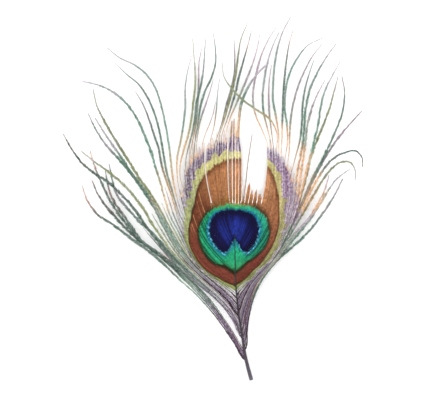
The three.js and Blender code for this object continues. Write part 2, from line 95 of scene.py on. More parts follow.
SHAFT_MIDDLE, SHAFT_HALF, SHAFT_HIGH = shaft_rings()
SHAFT_TOP = SHAFT_MIDDLE[-1]
NOTCH = SHAFT_TOP[:2] - TOP_ON_PAPER * SQUARE     # zero of the paper
print("shaft rings:", len(SHAFT_MIDDLE), "notch at", NOTCH.round(5))


# %% Which corners make a ring, and in which order the rings come
SHAFT_SAMPLES = 400        # places on the shaft's line that a distance is measured to


def beside_shaft(spot):
    """How far a place is from the shaft's middle line, seen from above."""
    numbers = np.arange(len(SHAFT_MIDDLE))
    line = columns_at(np.linspace(0, numbers[-1], SHAFT_SAMPLES), numbers, SHAFT_MIDDLE[:, :2])
    return np.linalg.norm(line - spot[:2], axis=1).min()


def ring_chain(node_name):
    """The rings of a strip from its root to its tip: two corners and a height each."""
    rows = corners(node_name)
    spots, spot_of = np.unique(np.round(rows[:, :2], 6), axis=0, return_inverse=True)
    spot_of = spot_of.ravel()
    height = np.array([(rows[spot_of == i, 2].min() + rows[spot_of == i, 2].max()) / 2
                       for i in range(len(spots))])
    links = [set() for _ in spots]
    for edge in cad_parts[node_name].data.edges:
        a, b = (int(spot_of[i]) for i in edge.vertices)
        if a != b:
            links[a].add(b)
            links[b].add(a)
    partner = [min(links[i], key=lambda j: abs(height[i] - height[j])) for i in range(len(spots))]
    ring_of = [min(i, partner[i]) for i in range(len(spots))]
    beside = {ring: {ring_of[j] for i in (ring, partner[ring]) for j in links[i]} - {ring}
              for ring in set(ring_of)}
    ends = [ring for ring in beside if len(beside[ring]) == 1]
    here = min(ends, key=lambda ring: beside_shaft((spots[ring] + spots[partner[ring]]) / 2))
    order = []
    while here is not None:
        order.append(here)
        here = next((ring for ring in beside[here] if ring not in order), None)
    return [(spots[ring], spots[partner[ring]], height[ring]) for ring in order]


# %% Left and right edges of every strip
def strip_edges(node_name):
    """Left corners, right corners and heights of a strip's rings."""
    pairs = ring_chain(node_name)
    middles = np.array([(a + b) / 2 for a, b, _ in pairs])
    left, right = [], []
    for (a, b, _), middle, way in zip(pairs, middles, np.gradient(middles, axis=0)):
        turns_left = way[0] * (a - middle)[1] - way[1] * (a - middle)[0] > 0
        left.append(a if turns_left else b)
        right.append(b if turns_left else a)
    return np.array(left), np.array(right), np.array([height for _, _, height in pairs])


STRIPS = {name: strip_edges(name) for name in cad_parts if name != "shaft"}
ring_count = sum(len(height) for _, _, height in STRIPS.values())
print("strips read:", len(STRIPS), "rings:", ring_count)

# %% [markdown]
# ## One stem and one barbule
# A barb's stem (the ramus) is a fine horny thread, and a barbule is a flat sliver on its side.
# They could be curves or hair, but a mesh shows the same from every side and in every program. A
# cylinder with five sides is enough for a thread this thin. Its long edges are cut across, so
# that it can bend. A barbule is a plane, cut once across and drawn together to a point.


# %% Edges chosen by their place, and a finished template
def select_edges(chosen):
    """Selects the edges of the object in edit mode for which chosen(a, b) holds."""
    bpy.ops.mesh.select_mode(type="EDGE")
    bpy.ops.mesh.select_all(action="DESELECT")
    bpy.ops.object.mode_set(mode="OBJECT")
    mesh = bpy.context.active_object.data
    for edge in mesh.edges:
        edge.select = chosen(*(mesh.vertices[i].co for i in edge.vertices))
    bpy.ops.object.mode_set(mode="EDIT")


def take_template(name):
    """Vertices and triangles of the object just made, which is then removed."""
    bpy.ops.mesh.select_all(action="SELECT")
    bpy.ops.mesh.quads_convert_to_tris()
    bpy.ops.object.mode_set(mode="OBJECT")
    made = bpy.context.active_object
    rows = np.array([vertex.co[:] for vertex in made.data.vertices])
    faces = np.array([face.vertices[:] for face in made.data.polygons])
    bpy.data.objects.remove(made)
    print(name, "template:", len(rows), "vertices,", len(faces), "triangles")
    return rows, faces


# %% The templates
def stem_template(name, sides, cuts):
    """A rod of unit radius along +Y from 0 to 1, cut across so that it can bend."""
    bpy.ops.object.select_all(action="DESELECT")
    bpy.ops.mesh.primitive_cylinder_add(vertices=sides, radius=1, depth=1, end_fill_type="NGON",
                                        rotation=(-math.pi / 2, 0, 0), location=(0, 0.5, 0))
    bpy.ops.object.transform_apply(location=True, rotation=True, scale=True)
    bpy.ops.object.mode_set(mode="EDIT")
    select_edges(lambda a, b: abs(a.y - b.y) > 0.5)
    bpy.ops.mesh.subdivide(number_cuts=cuts)
    return take_template(name)


def barbule_template(name):
    """A sliver of unit length along +Y and unit width at its foot, narrowing to its point."""
    bpy.ops.object.select_all(action="DESELECT")
    bpy.ops.mesh.primitive_plane_add(size=1, location=(0, 0.5, 0))
    bpy.ops.object.transform_apply(location=True, rotation=True, scale=True)
    bpy.ops.object.mode_set(mode="EDIT")
    select_edges(lambda a, b: abs(a.y - b.y) > 0.5)
    bpy.ops.mesh.subdivide(number_cuts=1)
    select_edges(lambda a, b: min(a.y, b.y) > 0.99)
    bpy.ops.mesh.merge(type="CENTER")
    return take_template(name)


SHORT_STEM = stem_template("short stem", sides=5, cuts=14)
LONG_STEM = stem_template("long stem", sides=5, cuts=50)
SHAFT_ROD = stem_template("shaft rod", sides=20, cuts=70)
BARBULE = barbule_template("barbule")

# %% [markdown]
# ## The rings of the eye
# The colours of the eye lie in rings: blue, green, copper, yellow-green and purple. They could be
# painted on a picture, but a rule keeps them sharp at any size. Each ring's outer edge is drawn
# by a few points on the same paper as the barbs. Seen from the heart of the blue, an edge is a
# distance for each direction, and the zone of a place says between which edges it lies: 0 to 1
# is the blue, 1 to 2 the green, and so on outwards.

# %% Outlines of the rings, in squares from the notch
HEART = np.array([-1, 8])
BLUE_EDGE = [(0, 0.4), (-3, -6), (-5.5, -12), (-9, -16.8), (-15.7, -13.4), (-21.4, -6.8),
             (-25.4, 1), (-26.2, 9.5), (-24, 18), (-19.5, 24), (-14, 26.3), (0, 27), (11, 26.3),
             (19, 22), (23, 15), (24, 7.6), (22.5, -2), (18.5, -10.5), (11.1, -16.8), (7, -14),
             (4, -8)]
GREEN_EDGE = [(0, -35.9), (-10, -28.8), (-21.4, -25.9), (-29.1, -18.2), (-34.8, -6.8),
              (-36.7, 6.6), (-32.9, 17.2), (-25.3, 25.8), (-14, 31), (6.3, 32.7), (16, 30.5),
              (25.4, 25.8), (33, 17), (34.5, 7.6), (31.2, -8.7), (20.7, -19.2), (11.1, -25.9)]
COPPER_EDGE = [(0, -48.4), (-17.6, -40.2), (-31, -31.6), (-39.6, -20.1), (-45.3, -8.7),
               (-45.8, 2.8), (-43.2, 20), (-39.8, 33.4), (-35.2, 52), (-27.2, 64), (-17.6, 71.7),
               (-9, 75.5), (-2, 77.4), (16, 76), (34, 68.8), (38.8, 58.3), (42.2, 44),
               (43.6, 29.6), (43.6, 20), (41.2, 2.8), (36.9, -8.7), (30.2, -19.2), (16.8, -34.5)]
LIME_EDGE = [(0, -54.5), (-21.4, -41.6), (-37.2, -27.4), (-44.4, -14.4), (-52, 2.8),
             (-51.8, 10.5), (-47.8, 29.6), (-42.6, 48.7), (-38.6, 66), (-27.2, 75.5),
             (-17.6, 82.2), (-8, 86), (14, 84), (35, 77.4), (43.6, 64), (47.5, 44.9),
             (49.4, 27.7), (48.4, 10.5), (43.6, -3.9), (21.6, -33.5)]
PURPLE_EDGE = [(0, -58), (-24, -46), (-42, -31), (-50, -18), (-57, 2), (-57.5, 14), (-55, 34),
               (-49.9, 54.2), (-41.8, 73.7), (-28, 86.3), (-10.8, 95.5), (12, 97), (32.7, 89.8),
               (45.4, 79.4), (55.7, 56.5), (62.6, 29), (61.4, 16.3), (52, -5), (27, -37)]
OUTSIDE = 14               # squares beyond the purple that one more zone takes


# %% The zone of a place
def round_the_heart(rays):
    """Direction of rays as a share of a turn: 0 below, 0.25 left, 0.5 above, 0.75 right."""
    return (np.arctan2(-rays[..., 0], -rays[..., 1]) / (2 * math.pi)) % 1


def edge_table(points):
    """Directions and distances of an edge, over three turns so that it has no seam."""
    rays = np.array(points, float) - HEART
    order = np.argsort(round_the_heart(rays))
    turn = round_the_heart(rays)[order]
    distance = np.linalg.norm(rays, axis=1)[order]
    return np.concatenate([turn - 1, turn, turn + 1]), np.tile(distance, 3)


EDGES = [edge_table(points) for points in (BLUE_EDGE, GREEN_EDGE, COPPER_EDGE, LIME_EDGE,
                                           PURPLE_EDGE)]


def on_paper(spots):
    """Squares of the paper for places in the frame."""
    return (spots[..., :2] - NOTCH) / SQUARE


def zone_of(squares):
    """Zone of places on the paper, and how far above and to the right of the heart (0 to 1)."""
    rays = squares - HEART
    distance = np.maximum(np.linalg.norm(rays, axis=-1), 0.01)
    bounds = [0 * distance] + [np.interp(round_the_heart(rays), *edge) for edge in EDGES]
    zone = len(EDGES) + (distance - bounds[-1]) / OUTSIDE
    for ring in range(len(EDGES) - 1, -1, -1):
        inside = ring + (distance - bounds[ring]) / (bounds[ring + 1] - bounds[ring])
        zone = np.where(distance < bounds[ring + 1], inside, zone)
    return zone, (1 + rays[..., 1] / distance) / 2, (1 + rays[..., 0] / distance) / 2


print("zone at the notch:", zone_of(np.array([0.0, 0.4]))[0].round(2))

# %% [markdown]
# ## A barb's own line
# A barb follows its strip, but the strip's rings are far apart. A Bezier curve would do, but a
# smooth line through the rings in plain numbers can be asked for its place, direction and side at
# any distance, and the barbules need just that. Its foot is carried on into the side of the
# shaft, where a real barb grows out.


# %% Smooth lines
def smooth_line(points, step):
    """A smooth line through points, as places no more than a step apart."""
    gaps = np.linalg.norm(np.diff(points, axis=0), axis=1)
    run = np.concatenate([[0], np.cumsum(gaps)])
    slopes = np.gradient(points, run, axis=0)
    places = np.linspace(0, run[-1], max(8, int(run[-1] / step)))
    index = np.clip(np.searchsorted(run, places, side="right") - 1, 0, len(gaps) - 1)
    width = gaps[index][:, None]
    t = ((places - run[index]) / gaps[index])[:, None]
    return ((2 * t**3 - 3 * t**2 + 1) * points[index]
            + (t**3 - 2 * t**2 + t) * width * slopes[index]
            + (3 * t**2 - 2 * t**3) * points[index + 1]
            + (t**3 - t**2) * width * slopes[index + 1])


class Barb:
    """A barb's line: side points to its left, up out of its bright face."""

    def __init__(self, points, step=0.6 * MM):
        self.points = smooth_line(points, step)
        steps = np.linalg.norm(np.diff(self.points, axis=0), axis=1)
        self.run = np.concatenate([[0], np.cumsum(steps)])
        self.length = self.run[-1]
        along = np.gradient(self.points, self.run, axis=0)
        self.along = along / np.linalg.norm(along, axis=1)[:, None]
        side = np.cross((0, 0, 1), self.along)
        self.side = side / np.linalg.norm(side, axis=1)[:, None]
        self.up = np.cross(self.along, self.side)
        self.zone, self.above, self.right = zone_of(on_paper(self.points))
        self.high = on_paper(self.points)[:, 1]

    def at(self, rows, run):
        """The rows' values at distances along the barb."""
        return columns_at(run, self.run, rows)


# %% Roots, and lines between two strips
ROOT = 1.3 * MM            # how far below its first ring a barb grows out of the shaft
LINE_POINTS = 16           # points of a line between two others


def rooted(points):
    """The points with one more before them, inside the shaft at the height of its middle."""
    way = (points[1] - points[0]) / np.linalg.norm(points[1] - points[0])
    below = min(points[0][1] - way[1] * ROOT, SHAFT_TOP[1] - 0.1 * MM)
    inside = columns_at([below], SHAFT_MIDDLE[:, 1], SHAFT_MIDDLE)[0]
    inside[2] = np.interp(below, SHAFT_MIDDLE[:, 1], SHAFT_HIGH) / 2
    return np.vstack([inside, points])


def strip_line(node_name, across=0.5):
    """Points along a strip: across is 0 at its left edge and 1 at its right."""
    left, right, height = STRIPS[node_name]
    return np.column_stack([left + (right - left) * across, height])


def line_between(first, second, share, length):
    """Points of a barb between two others, as far as a length from the shaft."""
    runs = np.linspace(0, length, LINE_POINTS)
    return first.at(first.points, runs) * (1 - share) + second.at(second.points, runs) * share


def named(start):
    """Names of the nodes that start with a word, in order."""
    return sorted(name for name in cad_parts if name.startswith(start))


lowest_barb = Barb(strip_line(named("loose_left")[-1]))
print("lowest loose barb on the left:", round(lowest_barb.length, 4), "m")

# %% [markdown]
# ## Laying the copies
# Copies could be separate objects, but ten thousands of them would be slow, so all barbs of one
# part of the feather are collected and become one mesh. Every vertex carries a few values that
# the finishes read: its zone, how far above and to the right of the heart it is, how far along
# its barb and out on its barbule, the look of its barb, and the shades of its barb, of its strand
# of barbs and of its barbule. The mesh has a map of its own, in which each barb is one row.

# %% A bundle of barbs
MARKS = ("zone", "above", "right", "along", "out", "look", "shade", "strand", "fine")


class Bundle:
    """Barbs that become one mesh."""

    def __init__(self, name, strand_size=1):
        self.name = name
        self.strand_size = strand_size      # barbs that lie together as one strand
        self.parts = []
        self.count = 0

    def add(self, vertices, faces, **marks):
        """Adds copies: vertices is (copies, template vertices, 3), marks the same but flat."""
        copies, size = vertices.shape[:2]
        shifts = (np.arange(copies) * size)[:, None, None]
        flat = {key: np.broadcast_to(value, (copies, size)).ravel()
                for key, value in {**marks, "row": self.count}.items()}
        self.parts.append((vertices.reshape(-1, 3), (faces[None] + shifts).reshape(-1, 3), flat))

    def joined(self):
        """Vertices, faces and marks of all copies together."""
        vertices = np.concatenate([part[0] for part in self.parts])
        starts = np.cumsum([0] + [len(part[0]) for part in self.parts[:-1]])
        faces = np.concatenate([part[1] + start for part, start in zip(self.parts, starts)])
        marks = {key: np.concatenate([part[2][key] for part in self.parts])
                 for key in self.parts[0][2]}
        return vertices, faces, marks


# %% Meshes and objects
def new_mesh(name, vertices, faces, marks):
    """A smooth mesh whose vertices carry marks."""
    mesh = bpy.data.meshes.new(name)
    mesh.from_pydata(vertices.tolist(), [], faces.tolist())
    for key, values in marks.items():
        layer = mesh.attributes.new(key, "FLOAT", "POINT")
        layer.data.foreach_set("value", values.astype(np.float32))
    mesh.shade_smooth()
    return mesh


def new_object(name, data):
    """A new object in the scene."""
    made = bpy.data.objects.new(name, data)
    bpy.context.scene.collection.objects.link(made)
    return made


# %% A bundle becomes a piece
LOWEST = 0.03 * MM         # nothing lies lower above the table than this
MAP_MARGIN = 0.005         # of the map's width, left free at either end of its rows
ROW_FILL = 0.9             # of a row's height that its barb takes


def build(bundle, material, nodes):
    """Makes a bundle's mesh with its marks and its map, and sets it in the frame."""
    vertices, faces, marks = bundle.joined()
    vertices[:, 2] = np.maximum(vertices[:, 2], LOWEST)
    mesh = new_mesh(bundle.name, vertices, faces, {key: marks[key] for key in MARKS})
    across = MAP_MARGIN + (1 - 2 * MAP_MARGIN) * marks["run"] / marks["run"].max()
    up = (marks["row"] + 0.5 + ROW_FILL * marks["across"]) / bundle.count
    rows = mesh.uv_layers.new(name="OFBake")
    rows.data.foreach_set("uv", np.stack([across, up], axis=1)[faces.ravel()].ravel())
    mesh.materials.append(material)
    piece = new_object(bundle.name, mesh)
    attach(piece, "root")
    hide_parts(*nodes)
    print(f"{bundle.name}: {bundle.count} barbs, {len(faces)} triangles")


# %% A stem along a barb
LONG_FROM = 30 * MM        # barbs longer than this get the stem with more cuts
STEM_HEIGHT = 1.3          # how much higher than wide a stem is
STEM_BAND = 0.07           # share of its row of the map that a stem takes on either side


def lay_stem(bundle, barb, half, marks):
    """A stem along a barb: half is its half width at every point of the line."""
    shape, faces = LONG_STEM if barb.length > LONG_FROM else SHORT_STEM
    run = shape[:, 1] * barb.length
    size = np.interp(run, barb.run, half)[:, None]
    vertices = (barb.at(barb.points, run)
                - barb.at(barb.side, run) * shape[:, :1] * size
                + barb.at(barb.up, run) * shape[:, 2:] * size * STEM_HEIGHT)
    slip = marks["slip"] * barb.at(barb.along, run)[:, :2]
    zone, above, right = zone_of(on_paper(vertices) + slip)
    zone = np.maximum(zone, np.interp(run, barb.run, marks["least_zone"]))
    bundle.add(vertices[None], faces, zone=zone, above=above, right=right,
               along=run / barb.length, out=0, look=marks["look"], shade=marks["shade"],
               strand=marks["strand"], fine=1, run=run, across=shape[:, 0] * STEM_BAND)


# %% A fringe of barbules along a barb
TUFT = 0.8 * MM            # barbules of one tuft stand out equally far
LONGEST_TUFT = 1.1
PLACE_UNREST = 0.35        # of the pitch, how far a barbule stands from its place
LEAN_UNREST = 0.09         # radians
TILT_UNREST = 0.03         # radians
SLIP_UNREST = 0.3          # squares that a barbule's colours are shifted along its barb
FRINGE_BAND = (0.1, 0.38)  # where a fringe begins in its row of the map, and how far it goes on


def lay_fringe(bundle, barb, side, fringe, marks):
    """Barbules on one side of a barb: 1 is its left, -1 its right."""
    shape, faces = BARBULE
    u, v = shape[:, 0], shape[:, 1]
    runs = np.arange(fringe["pitch"], barb.length, fringe["pitch"])
    runs = runs + random.uniform(-PLACE_UNREST, PLACE_UNREST, len(runs)) * fringe["pitch"]
    runs = np.clip(runs, 0, barb.length)
    along, up = barb.at(barb.along, runs), barb.at(barb.up, runs)
    lean = fringe["lean"] + random.normal(0, LEAN_UNREST, len(runs))
    tufts = np.arange(0, barb.length + TUFT, TUFT)
    tufts = np.interp(runs, tufts,
                      random.uniform(1 - fringe["ragged"], LONGEST_TUFT, len(tufts)))
    reach = np.interp(runs, barb.run, fringe["reach"]) * tufts
    size = (reach / np.sin(lean))[:, None]
    way = (along * np.cos(lean)[:, None]
           + barb.at(barb.side, runs) * side * np.sin(lean)[:, None])
    wide = np.cross(way, up)
    tilt = (fringe["lift"] * side + random.normal(0, TILT_UNREST, len(runs)))[:, None]
    rise = (tilt * v - fringe["droop"] * v**2) * size
    vertices = (barb.at(barb.points, runs)[:, None]
                + way[:, None] * (v * size)[..., None]
                + wide[:, None] * (u * fringe["blade"])[None, :, None]
                + up[:, None] * rise[..., None])
    slip = marks["slip"] + random.normal(0, SLIP_UNREST, len(runs))[:, None, None]
    zone, above, right = zone_of(on_paper(vertices) + slip * along[:, None, :2])
    run = np.clip(runs[:, None] + v * size * np.cos(lean)[:, None], 0, barb.length)
    zone = np.maximum(zone, np.interp(run, barb.run, marks["least_zone"]))
    bundle.add(vertices, faces, zone=zone, above=above, right=right, along=run / barb.length,
               out=v, look=marks["look"], shade=marks["shade"], strand=marks["strand"],
               fine=random.uniform(0.1, 1, len(runs))[:, None], run=run,
               across=side * (FRINGE_BAND[0] + FRINGE_BAND[1] * v))


# %% A whole barb
STRANDS = (0.1, 0.94, 0.2, 0.85, 0.62, 0.5, 0.0)     # shades of neighbouring strands
BARB_SLIP = 0.55           # squares that a barb's colours are shifted along it


def lay_barb(bundle, barb, half, fringe, look, least_zone=0):
    """One barb: its stem, and a fringe on either side; its zone is never below least_zone."""
    marks = {"look": look, "shade": random.uniform(0, 1),
             "strand": STRANDS[bundle.count // bundle.strand_size % len(STRANDS)],
             "slip": random.normal(0, BARB_SLIP), "least_zone": least_zone + 0 * barb.run}
    lay_stem(bundle, barb, half, marks)
    for side in (1, -1):
        lay_fringe(bundle, barb, side, fringe, marks)
    bundle.count += 1


# %% [markdown]
# ## Finishes
# A barbule is keratin over dark pigment, and thin layers in it throw back one colour of the
# light: it is a dark, satin surface with a metallic gleam. A real film of such layers would need
# a thin film in the shader, whose colours can't be chosen. So the colour is chosen for every
# ring, as it is seen below, beside and above the heart, and the zone tells where the next ring
# begins. One finish serves the eye and one the loose barbs, which gleam less.


# %% Colours and nodes
def linear(hex_colour):
    """A colour for a shader from its sRGB hex value."""
    parts = [int(hex_colour[i:i + 2], 16) / 255 for i in (1, 3, 5)]
    return [c / 12.92 if c <= 0.04045 else ((c + 0.055) / 1.055) ** 2.4 for c in parts] + [1]


def node(tree, kind, settings=None, links=None, output=0):
    """An output of a new node with settings on it or its sockets and links from other outputs."""
    made = tree.nodes.new(kind)
    for key, value in (settings or {}).items():
        if key == "stops":
            elements = made.color_ramp.elements
            while len(elements) < len(value):
                elements.new(0.5)
            for element, (place, hex_colour) in zip(elements, value):
                element.position = place
                element.color = linear(hex_colour)
        elif isinstance(key, str) and hasattr(made, key):
            setattr(made, key, value)
        else:
            made.inputs[key].default_value = value
    for key, source in (links or {}).items():
        tree.links.new(source, made.inputs[key])
    return made.outputs[output]


def new_material(name):
    """A material, its node tree and its shader."""
    made = bpy.data.materials.new(name)
    made.use_nodes = True
    return made, made.node_tree, made.node_tree.nodes["Principled BSDF"]


# Sockets of the Mix node that mixes colours.
FACTOR, UNDER, OVER, MIXED = 0, 6, 7, 2
KERATIN_IOR = 1.55

# %% The colours of the rings
# Each ring: the zones between which it replaces the ring before it, and its colours below, beside
# and above the heart, first on the left and then on the right.
RINGS = [
    ((0.98, 1.02), ("#1e7e98", "#1c76a8", "#1c6a74"), ("#1f7c90", "#1c7ea8", "#1c7c80")),
    ((1.08, 1.42), ("#2cb884", "#22b47c", "#48ae68"), ("#249470", "#34bc9c", "#35ac7c")),
    ((1.60, 1.90), ("#3eac70", "#2faa74", "#62aa66"), ("#30825e", "#3cb08a", "#58a878")),
    ((1.86, 1.98), ("#2c2a16", "#4c3420", "#9a6a38"), ("#30281a", "#5c3c26", "#a87444")),
    ((2.06, 2.30), ("#7c3e30", "#7a442b", "#bc8052"), ("#7e3c32", "#ae764f", "#ecb080")),
    ((2.86, 2.99), ("#4e3018", "#4e2c20", "#8a5432"), ("#5a3620", "#7a4a32", "#9a6240")),
    ((3.06, 3.24), ("#8e965c", "#acb07c", "#d8d08c"), ("#a0a068", "#c8bc84", "#ccc07c")),
    ((3.95, 4.05), ("#8c8888", "#746270", "#6e5076"), ("#bcb6b0", "#9a7a9a", "#9670a0")),
]
HEIGHTS = (0.1, 0.82, 1.0)      # where below, beside and above are, on the scale from 0 to 1
ROYAL_BLUE = "#26389c"
VIOLET_NAVY = "#0e0a38"
DARK_GREEN = "#0c3a28"
PALE_COPPER = "#cc9c6c"
PALE_TURQUOISE = "#70c4d6"
BRONZE = "#dcab7a"
PALE_FLECK = "#ebe6e8"
PALE_STEM = "#fff2ea"

# Loose barbs: at the foot each strand has one of these colours, by its shade.
FOOT = [(0.0, "#44343e"), (0.2, "#60424e"), (0.4, "#675266"), (0.6, "#8a7490"),
        (0.76, "#7e849a"), (0.9, "#b4a4b0"), (1.0, "#ece2e5")]
# From the foot to the tip they take on their look. A pale barb is bare and has no ramp.
GREEN, OLIVE, DARK, TAN, PALE = range(5)
LOOKS = [
    [(0.0, "#8d7d92"), (0.2, "#7a9284"), (0.42, "#5d8c74"), (0.7, "#4a7a64"), (0.88, "#7a8f86"),
     (1.0, "#b4a8b4")],
    [(0.0, "#857488"), (0.22, "#849070"), (0.45, "#8a9456"), (0.75, "#808c54"), (0.9, "#929a7c"),
     (1.0, "#b4aca4")],
    [(0.0, "#8a5c5c"), (0.14, "#75606a"), (0.28, "#6a927a"), (0.42, "#345c4a"),
     (0.82, "#2a5040"), (0.93, "#5f5850"), (1.0, "#c09a90")],
    [(0.0, "#8c6c7c"), (0.22, "#9a8894"), (0.42, "#a8907c"), (0.65, "#82907e"), (0.85, "#a08e9a"),
     (1.0, "#c0a8b4")],
]
print("rings:", len(RINGS), "looks of loose barbs:", len(LOOKS))


# %% What the finishes are cut out with
BLOTCH = 3.2 * MM          # size of the blotches of the outer rings
MOTTLE = 0.8 * MM          # coarser than the real cross-hatching of barbules, so that it shows
DRIFT = 14 * MM            # length over which a loose barb's colour drifts

# Each mask runs between two ends of a value: which value, the two ends, and the mask at them if
# that isn't 0 and 1. Where the first end is the higher one, the mask falls as the value grows.
ENDS = ("From Min", "From Max", "To Min", "To Max")
MASKS = {
    "heart": ("zone", 0.2, 0.78, 1.5, 0),
    "on_right": ("right", 0.6, 0.85),
    "to_rim": ("zone", 0, 2.1),
    "dots": ("mottle", 0.55, 0.75),
    "lower_half": ("above", 0.75, 0.5),
    "dark_barbs": ("shade", 0.34, 0.44),
    "near_dark_stem": ("out", 0.85, 0.1),
    "below_top": ("above", 0.95, 0.6),
    "off_shaft": ("along", 0.05, 0.15),
    "pale_barbs": ("shade", 0.82, 0.92),
    "near_pale_stem": ("out", 0.15, 0.1),
    "upper_half": ("above", 0.4, 0.6),
    "on_left": ("right", 0.5, 0.35),
    "pale_flecks": ("mottle_and_shade", 0.6, 1.5, 0, 0.42),
    "in_purple": ("zone", 3.95, 4.1),
    "drifting": ("drift", 0, 1, -0.14, 0.14),
    "bronze_barbs": ("shade", 0.1, 0.6, 0.3, 1),
    "high_up": ("above", 0.58, 0.68),
    "rather_right": ("right", 0.3, 0.75, 0.45, 1),
    "near_eye": ("zone", 6.0, 7.5, 1.8, 0),
    "fine_flecks": ("fine", 0.6, 0.9, 0, 0.3),
    "near_foot": ("along", 0.34, 0.2),
    "low": ("above", 0.62, 0.4, 0, 0.8),
}
# Each band is 1 within a distance of a middle and else 0: which value, the middle, the distance.
BANDS = {"in_green": ("zone", 1.6, 0.42), "in_copper": ("zone", 2.5, 0.4),
         "bare": ("look", PALE, 0.4)}
RIM = [(0.0, "#000000"), (0.44, "#000000"), (0.5, "#ffffff"), (0.56, "#000000")]
# Marks over the colours, and what each is cut out with. On the rings: pale dots on the turquoise
# rim, dark stems in the green, pale ones in the copper at the upper left, flecks in the purple.
RING_MARKS = [
    (PALE_TURQUOISE, ("rim", "dots", "lower_half")),
    (DARK_GREEN, ("dark_barbs", "in_green", "near_dark_stem", "below_top", "off_shaft")),
    (PALE_COPPER, ("pale_barbs", "in_copper", "near_pale_stem", "upper_half", "on_left")),
    (PALE_FLECK, ("pale_flecks", "in_purple")),
]
# On loose barbs: bronze beyond the upper rings, most of it on the right, and paler barbules.
LOOSE_MARKS = [
    (BRONZE, ("bronze_barbs", "high_up", "rather_right", "near_eye")),
    (PALE_FLECK, ("fine_flecks",)),
]
# Bare stems are pale where they are free.
STEM_MARKS = [(PALE_STEM, ("bare", "free"))]
# How far each value darkens and lightens the colour. A barbule is darkest at its stem.
TONES = {"fine": (0.76, 1.12), "shade": (0.78, 1.16), "out": (0.7, 1.1), "mottle": (0.68, 1.28),
         "blotch": (0.88, 1.08)}
print("masks:", len(MASKS) + len(BANDS), "marks:", len(RING_MARKS + LOOSE_MARKS + STEM_MARKS))


# %% The barbule finishes
def marked(tree, colour, marks, mask):
    """The colour with marks over it, each cut out with all of its masks together."""
    for hex_colour, (first, *others) in marks:
        factor = mask[first]
        for key in others:
            factor = node(tree, "ShaderNodeMath", {"operation": "MULTIPLY", "use_clamp": True},
                          {0: factor, 1: mask[key]})
        colour = node(tree, "ShaderNodeMix", {"data_type": "RGBA", OVER: linear(hex_colour)},
                      {FACTOR: factor, UNDER: colour}, MIXED)
    return colour


